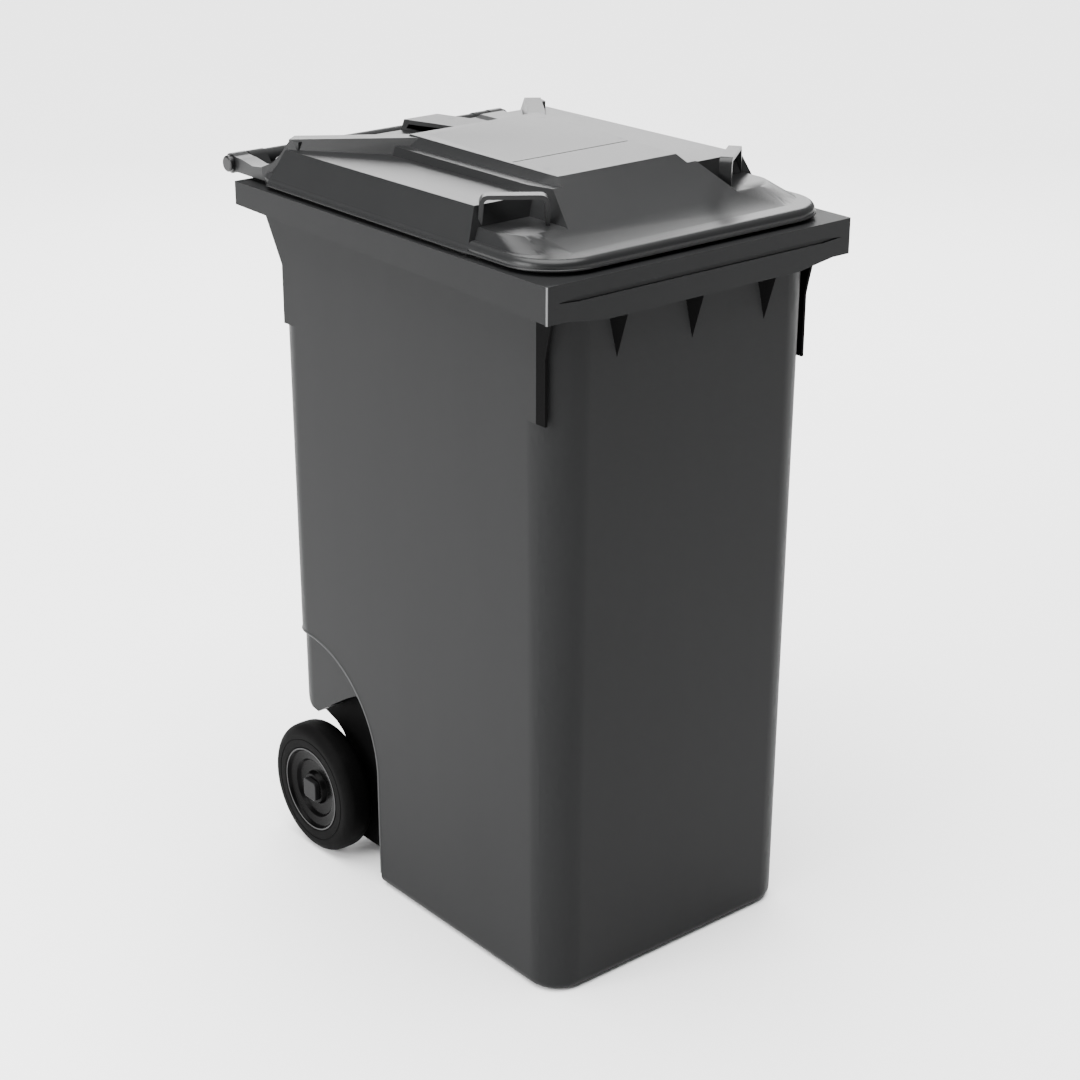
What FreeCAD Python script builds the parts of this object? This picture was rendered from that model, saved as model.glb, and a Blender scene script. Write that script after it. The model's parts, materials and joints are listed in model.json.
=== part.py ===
"""Two-wheeled refuse bin: tub, lid, hinge pins, axle and wheels, one STEP file per piece.

Millimetres, +Z up. The origin is on the floor under the middle of the bin.
The front, with the comb rim, faces -Y and the wheels and lid hinge are at +Y.
"""
import FreeCAD, Part
import math
import os
from FreeCAD import Vector

os.makedirs("parts", exist_ok=True)

# Overall
DEPTH = 720.0
FRONT = -DEPTH / 2
RIM_HALF_WIDTH = 257.0
RIM_REAR = 312.0
RIM_TOP = 1012.0
RIM_PLATE = 4.0
SKIRT_WALL = 4.0
GUSSET_HALF_WIDTH = 18.0

# Tub
WALL = 4.0
FIN_INNER = 220.0
FIN_OUTER = 224.0
TUB_TOP = RIM_TOP - RIM_PLATE
BASE_HALF_WIDTH = 219.5
TOP_HALF_WIDTH = 225.0
BASE_FRONT = FRONT + 27
TOP_FRONT = FRONT + 22
BASE_REAR = 276.0
TOP_REAR = 281.0
BASE_CORNER = 49.0
TOP_CORNER = 58.0
BASE_EDGE = 15.0

# Wheel recess in the lower rear of the tub
RECESS_CENTRE = (230.0, 177.0)
RECESS_RADIUS = 170.0
RECESS_STEP = 5.0
HOUSE_HALF_WIDTH = 178.0
HOUSE_FRONT = 40.0
HOUSE_ROOF = (
    (HOUSE_FRONT, 288.0), (118.0, 285.0), (138.0, 274.0), (168.0, 255.0), (199.0, 234.0), (216.0, 222.0),
    (232.0, 224.0), (243.0, 230.0), (250.0, 240.0), (254.0, 258.0), (262.0, 280.0),
)
LOWER_REAR = 191.0
FLOOR_RISE_FROM = 70.0
FLOOR_RISE = 20.0

# Wheels and axle
WHEEL_Y = 212.0
WHEEL_RADIUS = 100.0
WHEEL_INNER = 190.0
WHEEL_OUTER = 238.0
RIM_RADIUS = 64.0
TYRE_SHOULDER = 14.0
AXLE_RADIUS = 10.0
RUNNING_GAP = 0.05
BUSH_WALL = 3.0
BUSH_LENGTH = 16.0
HUB_RADIUS = 22.0
END_GAP = 0.4
AXLE_LUG_RADIUS = 19.0
HUB_RECESS = 8.0
RING_X = WHEEL_OUTER - HUB_RECESS + END_GAP
RING_WIDTH = 1.5
RING_DEPTH = 1.0
CAP_HALF = 15.5

# Lid hinge
PIN_Y = DEPTH / 2 - 14
PIN_Z = 1028.0
KNUCKLE_RADIUS = 14.0
PIN_RADIUS = 7.0
LUG_INNER = 186.0
LUG_OUTER = 212.0
ARM_INNER = 215.0
ARM_OUTER = 239.0
KNOB_RADIUS = 11.5
KNOB_OUTER = 247.0
GRIP_RADIUS = 12.5

# Lid
LID_WALL = 3.5
LID_BOTTOM = 1016.5
LID_HALF_WIDTH = 250.0
LID_FRONT = FRONT + 15
LID_REAR = 292.0
LID_CORNER = 72.0
LID_REAR_CORNER = 60.0
BEAD_HALF_WIDTH = 247.0
BEAD_TOP = 1031.0
APRON_TOP = 1045.0
DECK_TOP = 1070.0
DECK_REAR_TOP = 1066.0
DECK_HALF_WIDTH = 226.0
PLATEAU_FRONT_Z = 1088.5
PLATEAU_REAR_Z = 1092.0
PLATEAU_FRONT_Y = FRONT + 168
PLATEAU_END_Y = 104.0
PLATEAU_CORNER = (109.0, 83.0)
LEDGE_Z = 1079.0
FRONT_SLOPE = 0.604
RIDGE_END = (220.0, 228.0)
RIDGE_END_Z = 1079.0
RIDGE_WIDTH = 24.0
TONGUE_HALF_WIDTH = 29.0
TONGUE_REAR = 226.0
HANDLE_INNER = (154.0, FRONT + 119)
HANDLE_OUTER = (222.0, FRONT + 170)
HANDLE_TOP = 1083.0
STRAP_WIDTH = 17.0
STRAP_THICK = 5.5

# Transponder cap
CHIP_X = 94.0
CHIP_Y = FRONT + 13
CHIP_RADIUS = 9.0
CHIP_DEPTH = 2.0


def mirror_x(shape):
    """The shape reflected in the middle plane of the bin."""
    return shape.mirror(Vector(0, 0, 0), Vector(1, 0, 0))


def both_sides(shape):
    return [shape, mirror_x(shape)]


def box(x0, x1, y0, y1, z0, z1):
    return Part.makeBox(x1 - x0, y1 - y0, z1 - z0, Vector(x0, y0, z0))


def x_cylinder(radius, x0, x1, y, z):
    return Part.makeCylinder(radius, x1 - x0, Vector(x0, y, z), Vector(1, 0, 0))


def x_prism(outline, x0, x1):
    """Prism along X from an outline of (y, z) corners."""
    points = [Vector(x0, y, z) for y, z in outline]
    face = Part.Face(Part.makePolygon(points + points[:1]))
    return face.extrude(Vector(x1 - x0, 0, 0))


def y_prism(outline, y0, y1):
    """Prism along Y from an outline of (x, z) corners."""
    points = [Vector(x, y0, z) for x, z in outline]
    face = Part.Face(Part.makePolygon(points + points[:1]))
    return face.extrude(Vector(0, y1 - y0, 0))


def rounded_rectangle(half_width, front, rear, front_radius, rear_radius, z):
    """Closed wire, symmetric about x = 0, with arcs at its four corners."""
    corners = (
        (half_width, front, front_radius, -90),
        (half_width, rear, rear_radius, 0),
        (-half_width, rear, rear_radius, 90),
        (-half_width, front, front_radius, 180),
    )
    arcs = []
    for x, y, radius, start in corners:
        centre = Vector(x - math.copysign(radius, x), y + (radius if y == front else -radius), z)
        points = []
        for turn in (0, 45, 90):
            angle = math.radians(start + turn)
            points.append(centre + Vector(radius * math.cos(angle), radius * math.sin(angle), 0))
        arcs.append(points)
    edges = []
    for index, points in enumerate(arcs):
        edges.append(Part.Arc(*points).toShape())
        edges.append(Part.makeLine(points[2], arcs[(index + 1) % 4][0]))
    return Part.Wire(edges)


def slab(wire, height):
    return Part.Face(wire).extrude(Vector(0, 0, height))


def prismoid(lower, upper):
    """Solid between two polygons of equally many 3-D points, with flat triangles between them."""
    low = [Vector(*point) for point in lower]
    high = [Vector(*point) for point in upper]
    faces = [Part.Face(Part.makePolygon(low + low[:1])), Part.Face(Part.makePolygon(high + high[:1]))]
    for index in range(len(low)):
        after = (index + 1) % len(low)
        for trio in ((low[index], low[after], high[after]), (low[index], high[after], high[index])):
            faces.append(Part.Face(Part.makePolygon(list(trio) + [trio[0]])))
    solid = Part.makeSolid(Part.makeShell(faces))
    if solid.Volume < 0:
        solid.reverse()
    return solid


def symmetric(half):
    """Full outline from its points on the +X side, which run from front to rear."""
    return half + [(-x, y, z) for x, y, z in reversed(half)]


def fuse(shapes):
    return shapes[0].fuse(shapes[1:]).removeSplitter()


# Tub -----------------------------------------------------------------------------------------

def tub_loft(inset, bottom):
    """Tapered tub form, drawn in by inset from the outside and starting at height bottom."""
    share = bottom / TUB_TOP

    def at(base, top):
        return base + (top - base) * share

    low = rounded_rectangle(
        at(BASE_HALF_WIDTH, TOP_HALF_WIDTH) - inset, at(BASE_FRONT, TOP_FRONT) + inset,
        at(BASE_REAR, TOP_REAR) - inset, at(BASE_CORNER, TOP_CORNER) - inset,
        at(BASE_CORNER, TOP_CORNER) - inset, bottom)
    high = rounded_rectangle(
        TOP_HALF_WIDTH - inset, TOP_FRONT + inset, TOP_REAR - inset,
        TOP_CORNER - inset, TOP_CORNER - inset, TUB_TOP)
    loft = Part.makeLoft([low, high], True, True)
    foot = [edge for edge in loft.Edges if edge.BoundBox.ZMax < bottom + 0.01]
    return loft.makeFillet(BASE_EDGE, foot)


def recess_arch(grown):
    """Round-topped region of the side wall in front of and above the wheel."""
    y, z = RECESS_CENTRE
    radius = RECESS_RADIUS + grown
    return fuse([x_cylinder(radius, 120, 300, y, z), box(120, 300, y - radius, y + 300, -50, z)])


def wheel_house(grown):
    """Space beside the narrow lower tub that the wheel turns in."""
    roof = [(HOUSE_FRONT, -50)]
    roof += [(y, z + grown) for y, z in HOUSE_ROOF]
    roof += [(420, HOUSE_ROOF[-1][1] + grown), (420, -50)]
    return x_prism(roof, HOUSE_HALF_WIDTH - grown, 300).common(recess_arch(grown))


def lower_rear(grown):
    """Space behind the tub's lower rear wall, where the axle crosses."""
    y = LOWER_REAR - grown
    outline = [
        (y, -50), (y, 150 + grown), (y + 5, 165 + grown), (y + 16, 180 + grown),
        (y + 33, 191 + grown), (y + 60, 199 + grown), (y + 200, 203 + grown), (y + 200, -50),
    ]
    return x_prism(outline, -300, 300)


def tub_form(inset, bottom):
    """Tub with both wheel recesses, drawn in by inset all round."""
    form = tub_loft(inset, bottom)
    stepped_in = tub_loft(inset + RECESS_STEP, bottom)
    for arch in both_sides(recess_arch(inset)):
        form = form.cut(arch.cut(stepped_in))
    for house in both_sides(wheel_house(inset)):
        form = form.cut(house)
    form = form.cut(lower_rear(inset))
    return form.cut(box(-300, 300, FLOOR_RISE_FROM - inset, 400, -50, FLOOR_RISE + inset))


def tub_shell():
    return tub_form(0, 0).cut(tub_form(WALL, WALL))


def rim():
    """Flat top flange with a box skirt, its lower edge rising towards the rear."""
    outside = box(-RIM_HALF_WIDTH, RIM_HALF_WIDTH, FRONT, RIM_REAR, 940, RIM_TOP)
    hollow = box(-RIM_HALF_WIDTH + SKIRT_WALL, RIM_HALF_WIDTH - SKIRT_WALL,
                 FRONT + SKIRT_WALL, RIM_REAR - SKIRT_WALL, 900, TUB_TOP)
    mouth = slab(rounded_rectangle(TOP_HALF_WIDTH - WALL, TOP_FRONT + WALL, TOP_REAR - WALL,
                                   TOP_CORNER - WALL, TOP_CORNER - WALL, 990), 50)
    lower_side = [(FRONT + SKIRT_WALL, 900), (FRONT + SKIRT_WALL, 965.5), (-193, 971), (69, 975),
                  (RIM_REAR + 10, 980), (RIM_REAR + 10, 900)]
    lower_front = [(-300, 900), (-300, 964.5), (-225, 964.5), (-165, 956), (165, 956),
                   (225, 964.5), (300, 964.5), (300, 900)]
    shape = outside.cut([hollow, mouth, x_prism(lower_side, -300, 300),
                         y_prism(lower_front, FRONT - 10, FRONT + SKIRT_WALL)])
    corner_edges = []
    for edge in shape.Edges:
        limits = edge.BoundBox
        upright = limits.ZLength > 20 and limits.XLength < 0.01 and limits.YLength < 0.01
        if upright and abs(abs(edge.CenterOfMass.x) - RIM_HALF_WIDTH) < 0.1:
            corner_edges.append(edge)
    return shape.makeFillet(2.0, corner_edges)


def front_groove():
    """Long shallow groove along the front skirt, pointed at its ends."""
    outline = [(-240, 989), (-205, 993), (205, 993), (240, 989), (205, 986.5), (-205, 986.5)]
    return y_prism(outline, FRONT - 5, FRONT + 2.2)


def rim_ribs():
    """Thin webs between tub wall and skirt, hidden under the flange."""
    webs = []
    for y in (-270, -180, -90, 0, 90, 180, 260):
        webs += both_sides(box(TOP_HALF_WIDTH - 3, RIM_HALF_WIDTH - 2, y - 1.5, y + 1.5, 984, TUB_TOP + 1))
    for x in (-189, -63, 63, 189):
        webs.append(box(x - 1.5, x + 1.5, FRONT + 2, TOP_FRONT + 3, 975, TUB_TOP + 1))
    return webs


def gusset(x):
    """Wedge under the front rim: wide where it leaves the wall, sharp at its free edge."""
    def triangle(half_width, free_edge, z):
        return [(x - half_width, FRONT + 26, z), (x + half_width, FRONT + 26, z), (x, free_edge, z)]

    sill = triangle(GUSSET_HALF_WIDTH, FRONT + 3, 956)
    return fuse([prismoid(triangle(1.0, FRONT + 24, 890), sill),
                 prismoid(sill, triangle(GUSSET_HALF_WIDTH, FRONT + 3, TUB_TOP))])


def corner_fins():
    """Plates that carry the plane of the side walls past the rounded corners."""
    front = [(FRONT + 22, TUB_TOP + 1), (FRONT + 31, 954), (FRONT + 37, 930), (FRONT + 42, 906),
             (FRONT + 42, 820), (FRONT + 84, 820), (FRONT + 84, TUB_TOP + 1)]
    rear = [(301, TUB_TOP + 1), (290, 967), (252, 901), (252, 817), (218, 817), (218, TUB_TOP + 1)]
    fins = []
    for outline in (front, rear):
        fins += both_sides(x_prism(outline, FIN_INNER, FIN_OUTER))
    return fins


def hinge_lug():
    """Lug behind the rim that holds a hinge pin and one end of the grip."""
    outline = [(TOP_REAR - 3, 1011), (TOP_REAR - 3, 978), (RIM_REAR - 4, 978), (PIN_Y - 6, 1010),
               (PIN_Y, PIN_Z - KNUCKLE_RADIUS), (PIN_Y, PIN_Z + KNUCKLE_RADIUS - 1),
               (PIN_Y - 9, PIN_Z + 10), (RIM_REAR + 2, 1011)]
    web = x_prism(outline, LUG_INNER, LUG_OUTER)
    return fuse([web, x_cylinder(KNUCKLE_RADIUS - 0.5, LUG_INNER, LUG_OUTER, PIN_Y, PIN_Z)])


def rear_grip():
    """Bar between the hinge lugs with a middle support."""
    bar = x_cylinder(GRIP_RADIUS, -LUG_INNER - 2, LUG_INNER + 2, PIN_Y, PIN_Z)
    outline = [(TOP_REAR - 3, 1011), (TOP_REAR - 3, 978), (RIM_REAR - 4, 978), (PIN_Y + 2, PIN_Z - 8),
               (PIN_Y - 6, PIN_Z + 6), (RIM_REAR - 4, 1011)]
    return [bar, x_prism(outline, -12, 12)]


def axle_lugs():
    """Rounded lugs on the lower rear wall, bored for the axle."""
    lugs = []
    for start, end in ((150, HOUSE_HALF_WIDTH), (46, 74)):
        round_end = x_cylinder(AXLE_LUG_RADIUS, start, end, WHEEL_Y, WHEEL_RADIUS)
        root = box(start, end, LOWER_REAR - 3, WHEEL_Y, WHEEL_RADIUS - AXLE_LUG_RADIUS,
                   WHEEL_RADIUS + AXLE_LUG_RADIUS)
        lugs += both_sides(fuse([round_end, root]))
    return lugs


def hand_gap():
    """Cut in the rear flange and skirt that leaves room for fingers in front of the grip."""
    return both_sides(box(12, LUG_INNER, TOP_REAR + 8, PIN_Y - 2, 900, RIM_TOP + 1))


def bin_body():
    shapes = [tub_shell(), rim().cut(hand_gap())]
    shapes += rim_ribs() + [gusset(x) for x in (-126, 0, 126)] + corner_fins()
    shapes += both_sides(hinge_lug()) + rear_grip() + axle_lugs()
    body = fuse(shapes)
    cuts = [front_groove(), x_cylinder(AXLE_RADIUS + RUNNING_GAP, -300, 300, WHEEL_Y, WHEEL_RADIUS)]
    cuts += both_sides(x_cylinder(PIN_RADIUS + RUNNING_GAP, LUG_INNER + 1, 300, PIN_Y, PIN_Z))
    cuts.append(chip_nest_bore())
    return body.cut(cuts)


# Transponder cap -------------------------------------------------------------------------------

def chip_nest_bore():
    """Shallow round seat in the underside of the front flange."""
    return Part.makeCylinder(CHIP_RADIUS, CHIP_DEPTH, Vector(CHIP_X, CHIP_Y, TUB_TOP))


def transponder_cap():
    """Short plug that stands a little proud of its seat."""
    proud = 3
    return Part.makeCylinder(CHIP_RADIUS - RUNNING_GAP, CHIP_DEPTH + proud,
                             Vector(CHIP_X, CHIP_Y, TUB_TOP - proud))


# Lid -------------------------------------------------------------------------------------------

def lid_edge(t):
    """Low rounded rectangle whose upper edge is rolled over into a bead."""
    wire = rounded_rectangle(BEAD_HALF_WIDTH - t, LID_FRONT + t, LID_REAR - t, LID_CORNER - t,
                             LID_REAR_CORNER - t, LID_BOTTOM - t)
    shape = slab(wire, BEAD_TOP - LID_BOTTOM)
    top = [edge for edge in shape.Edges if edge.BoundBox.ZMin > BEAD_TOP - t - 0.01]
    return shape.makeFillet(9.0 - t, top)


def lid_apron(t):
    """Gently rising surface behind the front bead."""
    low = rounded_rectangle(BEAD_HALF_WIDTH - 8 - t, LID_FRONT + 8 + t, LID_REAR - 4 - t,
                            LID_CORNER - 8 - t, LID_REAR_CORNER - 8 - t, BEAD_TOP - 6 - t)
    high = rounded_rectangle(LID_HALF_WIDTH - 24 - t, FRONT + 100 + t, LID_REAR - 8 - t,
                             40 - t, LID_REAR_CORNER - 16 - t, APRON_TOP - t)
    return Part.makeLoft([low, high], True, True)


def lid_deck(t):
    """Side panels and rear deck, one flat-topped block with leaning sides."""
    z0 = LID_BOTTOM - t
    lower = symmetric([(LID_HALF_WIDTH - t, FRONT + 160 + t, z0), (LID_HALF_WIDTH - t, 244 - t, z0)])
    top = symmetric([(DECK_HALF_WIDTH - t, FRONT + 176 + t, DECK_TOP - t),
                     (DECK_HALF_WIDTH - t, 228 - t, DECK_REAR_TOP - t)])
    return prismoid(lower, top)


def plateau_z(y):
    """Height of the raised centre, which climbs slightly towards the rear."""
    rise = (PLATEAU_REAR_Z - PLATEAU_FRONT_Z) / (PLATEAU_CORNER[1] - PLATEAU_FRONT_Y)
    return PLATEAU_FRONT_Z + rise * (y - PLATEAU_FRONT_Y)


def slope_y(z):
    """Depth at which the front slope of the raised centre reaches height z."""
    return PLATEAU_FRONT_Y - (PLATEAU_FRONT_Z - z) / FRONT_SLOPE


def lid_plateau(t):
    """Raised centre with one long front slope and two-stepped flanks."""
    end_y = PLATEAU_END_Y - t
    side_y = PLATEAU_FRONT_Y + 20 + t
    foot_z = APRON_TOP - 8
    foot = symmetric([(150 - t, slope_y(foot_z) + t, foot_z - t), (150 - t, side_y - 20, foot_z - t),
                      (150 - t, end_y, foot_z - t)])
    ledge_low = symmetric([(121 - t, slope_y(LEDGE_Z) + t, LEDGE_Z - t), (131 - t, side_y, LEDGE_Z - t),
                           (134 - t, end_y, LEDGE_Z - t)])
    ledge_z = LEDGE_Z - 0.5
    ledge_high = symmetric([(106 - t, slope_y(ledge_z) + t, ledge_z - t), (114 - t, side_y, ledge_z - t),
                            (120 - t, end_y, ledge_z - t)])
    top_corners = ((100, PLATEAU_FRONT_Y + t), (101, side_y), (PLATEAU_CORNER[0], end_y))
    top = symmetric([(x - t, y, plateau_z(y) - t) for x, y in top_corners])
    return [prismoid(foot, ledge_low), prismoid(ledge_high, top)]


def lid_rear_ridge(t):
    """Diagonal ridge from the plateau's rear corner to the hinge arm."""
    along = (Vector(*RIDGE_END, 0) - Vector(*PLATEAU_CORNER, 0)).normalize()
    inward = Vector(-along.y, along.x, 0)
    low = []
    high = []
    for corner, z, shift in ((PLATEAU_CORNER, PLATEAU_REAR_Z, t - 14), (RIDGE_END, RIDGE_END_Z, -t)):
        start = Vector(*corner, 0) + along * shift
        front_foot = start + inward * (t - 7)
        front_top = start + inward * t
        rear_top = start + inward * (RIDGE_WIDTH - t)
        rear_foot = start + inward * (RIDGE_WIDTH + 6 - t)
        low += [(point.x, point.y, DECK_REAR_TOP - 6 - t) for point in (front_foot, rear_foot)]
        high += [(point.x, point.y, z - t) for point in (front_top, rear_top)]
    order = (0, 1, 3, 2)
    return prismoid([low[i] for i in order], [high[i] for i in order])


def lid_tongue(t):
    """Raised tongue that carries the middle of the plateau back to the rear edge."""
    foot_z = DECK_REAR_TOP - 6 - t
    foot = symmetric([(TONGUE_HALF_WIDTH + 4 - t, PLATEAU_END_Y - 20, foot_z),
                      (TONGUE_HALF_WIDTH + 4 - t, TONGUE_REAR + 6 - t, foot_z)])
    top = symmetric([(TONGUE_HALF_WIDTH - t, PLATEAU_END_Y - 16, PLATEAU_REAR_Z - t),
                     (TONGUE_HALF_WIDTH - t, TONGUE_REAR - t, RIDGE_END_Z + 2 - t)])
    return prismoid(foot, top)


def lid_rear_pad(t):
    """Low pad on the rear deck between tongue and ridge."""
    z0 = DECK_REAR_TOP - 6 - t
    low = [(86 + t, 168 + t, z0), (134 - t, 168 + t, z0), (156 - t, 229 - t, z0), (86 + t, 229 - t, z0)]
    z1 = DECK_REAR_TOP + 4 - t
    high = [(106 + t, 174 + t, z1), (130 - t, 174 + t, z1), (148 - t, 225 - t, z1), (106 + t, 225 - t, z1)]
    return prismoid(low, high)


def lid_form(t):
    pieces = [lid_edge(t), lid_apron(t), lid_deck(t)] + lid_plateau(t)
    pieces += both_sides(lid_rear_ridge(t)) + both_sides(lid_rear_pad(t)) + [lid_tongue(t)]
    return fuse(pieces)


def lid_arm():
    """Arm from the end of the rear ridge down to the hinge pin, wider where it leaves the ridge."""
    outline = [(212, RIDGE_END_Z - 2), (228, RIDGE_END_Z - 0.5), (234, 1072), (243, 1057), (254, 1044),
               (270, 1036), (292, 1033.5), (318, 1038), (PIN_Y - 8, PIN_Z + 11), (PIN_Y, PIN_Z + 11),
               (PIN_Y, PIN_Z - 11), (PIN_Y - 20, 1018), (212, 1018)]
    shoulder_inner = 200
    plate = x_prism(outline, shoulder_inner, ARM_OUTER)
    inner_clear = slab(Part.makePolygon([Vector(x, y, 1000) for x, y in (
        (150, 246), (shoulder_inner, 246), (ARM_INNER, 268), (ARM_INNER, 400), (150, 400), (150, 246))]), 100)
    outer_clear = slab(Part.makePolygon([Vector(x, y, 1000) for x, y in (
        (214, 200), (270, 200), (270, 268), (ARM_OUTER, 268), (219, 234), (214, 200))]), 100)
    low_front = box(150, 270, 200, 288, 1000, LID_BOTTOM + 2)
    knuckle = x_cylinder(KNUCKLE_RADIUS, ARM_INNER, ARM_OUTER, PIN_Y, PIN_Z)
    return fuse([plate.cut([inner_clear, outer_clear, low_front]), knuckle])


def strap_outline(inner_u, outer_u, top, corner):
    """Arch-shaped block in the handle's own plane, standing on a level foot."""
    foot = [Vector(-inner_u - 1.5, 0, 1034), Vector(outer_u + 4, 0, 1034)]
    crown = [Vector(outer_u, 0, top), Vector(-inner_u, 0, top)]
    points = foot + crown
    block = Part.Face(Part.makePolygon(points + points[:1])).extrude(Vector(0, STRAP_WIDTH, 0))
    edges = [edge for edge in block.Edges if edge.BoundBox.ZMin > top - 0.01 and edge.BoundBox.XLength < 0.01]
    return block.makeFillet(corner, edges)


def lid_handle():
    """Flat strap bent into a loop across a front corner of the lid."""
    inner = Vector(*HANDLE_INNER, 0)
    outer = Vector(*HANDLE_OUTER, 0)
    half = (outer - inner).Length / 2
    strap = strap_outline(half, half, HANDLE_TOP, 11.0).cut(
        strap_outline(half - STRAP_THICK, half - STRAP_THICK, HANDLE_TOP - STRAP_THICK, 6.0))
    run = outer - inner
    strap.rotate(Vector(0, 0, 0), Vector(0, 0, 1), math.degrees(math.atan2(run.y, run.x)))
    strap.translate((inner + outer) / 2)
    return strap


def tongue_slot():
    """Dark opening low in the side of the tongue."""
    outline = [(126, DECK_REAR_TOP + 4), (218, DECK_REAR_TOP + 4), (214, 1076), (126, 1084)]
    return x_prism(outline, TONGUE_HALF_WIDTH - 8, TONGUE_HALF_WIDTH + 8)


def bin_lid():
    shell = lid_form(0).cut(lid_form(LID_WALL))
    lid = fuse([shell] + both_sides(lid_arm()) + both_sides(lid_handle().cut(lid_form(LID_WALL / 2))))
    cuts = both_sides(x_cylinder(PIN_RADIUS + RUNNING_GAP, ARM_INNER - 1, ARM_OUTER + 1, PIN_Y, PIN_Z))
    cuts += both_sides(tongue_slot())
    groove_y = FRONT + 260
    cuts.append(box(-98, 98, groove_y - 1.25, groove_y + 1.25, plateau_z(groove_y) - 1, 1100))
    return lid.cut(cuts)


# Hinge pins --------------------------------------------------------------------------------------

def hinge_pin():
    """Pin with a domed knob outside the lid arm."""
    shank = x_cylinder(PIN_RADIUS, LUG_INNER + 4, KNOB_OUTER - 4, PIN_Y, PIN_Z)
    knob = x_cylinder(KNOB_RADIUS, ARM_OUTER + END_GAP, KNOB_OUTER, PIN_Y, PIN_Z)
    rim_edges = [edge for edge in knob.Edges if edge.BoundBox.XMin > KNOB_OUTER - 0.01]
    return fuse([shank, knob.makeFillet(3.0, rim_edges)])


# Wheels and axle ---------------------------------------------------------------------------------

def turned(profile):
    """Solid of revolution about the axle line, from (radius, x) corners."""
    points = [Vector(x, WHEEL_Y, WHEEL_RADIUS + r) for r, x in profile]
    face = Part.Face(Part.makePolygon(points + points[:1]))
    return face.revolve(Vector(0, WHEEL_Y, WHEEL_RADIUS), Vector(1, 0, 0), 360)


def tyre():
    ring = x_cylinder(WHEEL_RADIUS, WHEEL_INNER, WHEEL_OUTER, WHEEL_Y, WHEEL_RADIUS)
    ring = ring.makeFillet(TYRE_SHOULDER, [edge for edge in ring.Edges if edge.Closed])
    return ring.cut(x_cylinder(RIM_RADIUS, 100, 300, WHEEL_Y, WHEEL_RADIUS))


def wheel_rim():
    """Barrel, dished disc and hub of the wheel, with stiffening ribs on the hidden side."""
    bore = AXLE_RADIUS + BUSH_WALL
    profile = [
        (bore, WHEEL_INNER + 1), (HUB_RADIUS, WHEEL_INNER + 1), (HUB_RADIUS, WHEEL_OUTER - 15),
        (RIM_RADIUS - 6, WHEEL_OUTER - 9), (RIM_RADIUS - 5, WHEEL_INNER + 2), (RIM_RADIUS, WHEEL_INNER + 2),
        (RIM_RADIUS, WHEEL_OUTER - 1), (RIM_RADIUS - 3, WHEEL_OUTER - 1), (RIM_RADIUS - 7, WHEEL_OUTER - 4.5),
        (HUB_RADIUS + 4, WHEEL_OUTER - 9), (HUB_RADIUS, WHEEL_OUTER - 5), (bore + 2, WHEEL_OUTER - 5),
        (bore + 2, WHEEL_OUTER - HUB_RECESS), (bore, WHEEL_OUTER - HUB_RECESS),
    ]
    shapes = [turned(profile)]
    for turn in range(8):
        web = box(WHEEL_INNER + 6, WHEEL_OUTER - 12, WHEEL_Y - 1.5, WHEEL_Y + 1.5,
                  WHEEL_RADIUS + HUB_RADIUS - 1, WHEEL_RADIUS + RIM_RADIUS - 4)
        web.rotate(Vector(0, WHEEL_Y, WHEEL_RADIUS), Vector(1, 0, 0), 45 * turn)
        shapes.append(web)
    return fuse(shapes)


def bush(x0):
    outer = x_cylinder(AXLE_RADIUS + BUSH_WALL, x0, x0 + BUSH_LENGTH, WHEEL_Y, WHEEL_RADIUS)
    return outer.cut(x_cylinder(AXLE_RADIUS + RUNNING_GAP, 0, 300, WHEEL_Y, WHEEL_RADIUS))


def axle_spacer():
    start = HOUSE_HALF_WIDTH + 0.1
    outer = x_cylinder(HUB_RADIUS - 6, start, WHEEL_INNER + 1 - END_GAP, WHEEL_Y, WHEEL_RADIUS)
    return outer.cut(x_cylinder(AXLE_RADIUS + RUNNING_GAP, 0, 300, WHEEL_Y, WHEEL_RADIUS))


def retaining_ring():
    outer = x_cylinder(AXLE_RADIUS + 4, RING_X, RING_X + RING_WIDTH, WHEEL_Y, WHEEL_RADIUS)
    return outer.cut(x_cylinder(AXLE_RADIUS - RING_DEPTH, 0, 300, WHEEL_Y, WHEEL_RADIUS))


def wheel_axle():
    """Steel axle with a groove near each end for its retaining ring."""
    end = RING_X + 3.5
    axle = x_cylinder(AXLE_RADIUS, -end, end, WHEEL_Y, WHEEL_RADIUS)
    groove = x_cylinder(AXLE_RADIUS + 5, RING_X, RING_X + RING_WIDTH, WHEEL_Y, WHEEL_RADIUS)
    groove = groove.cut(x_cylinder(AXLE_RADIUS - RING_DEPTH, 0, 300, WHEEL_Y, WHEEL_RADIUS))
    return axle.cut(both_sides(groove))


def hub_cap():
    """Square cap with rounded corners over the axle's end."""
    outer = box(WHEEL_OUTER - 5, WHEEL_OUTER + 2, WHEEL_Y - CAP_HALF, WHEEL_Y + CAP_HALF,
                WHEEL_RADIUS - CAP_HALF, WHEEL_RADIUS + CAP_HALF)
    uprights = [edge for edge in outer.Edges if edge.BoundBox.XLength > 5]
    outer = outer.makeFillet(6.0, uprights)
    top = [edge for edge in outer.Edges if edge.BoundBox.XMin > WHEEL_OUTER + 1.99]
    outer = outer.makeFillet(1.5, top)
    return outer.cut(x_cylinder(AXLE_RADIUS + 4.7, 0, WHEEL_OUTER - 0.5, WHEEL_Y, WHEEL_RADIUS))


def export(name, shape):
    shape.exportStep("parts/" + name + ".step")
    print(name, round(shape.Volume / 1000, 1), "cm3", shape.isValid(), len(shape.Solids))


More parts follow.
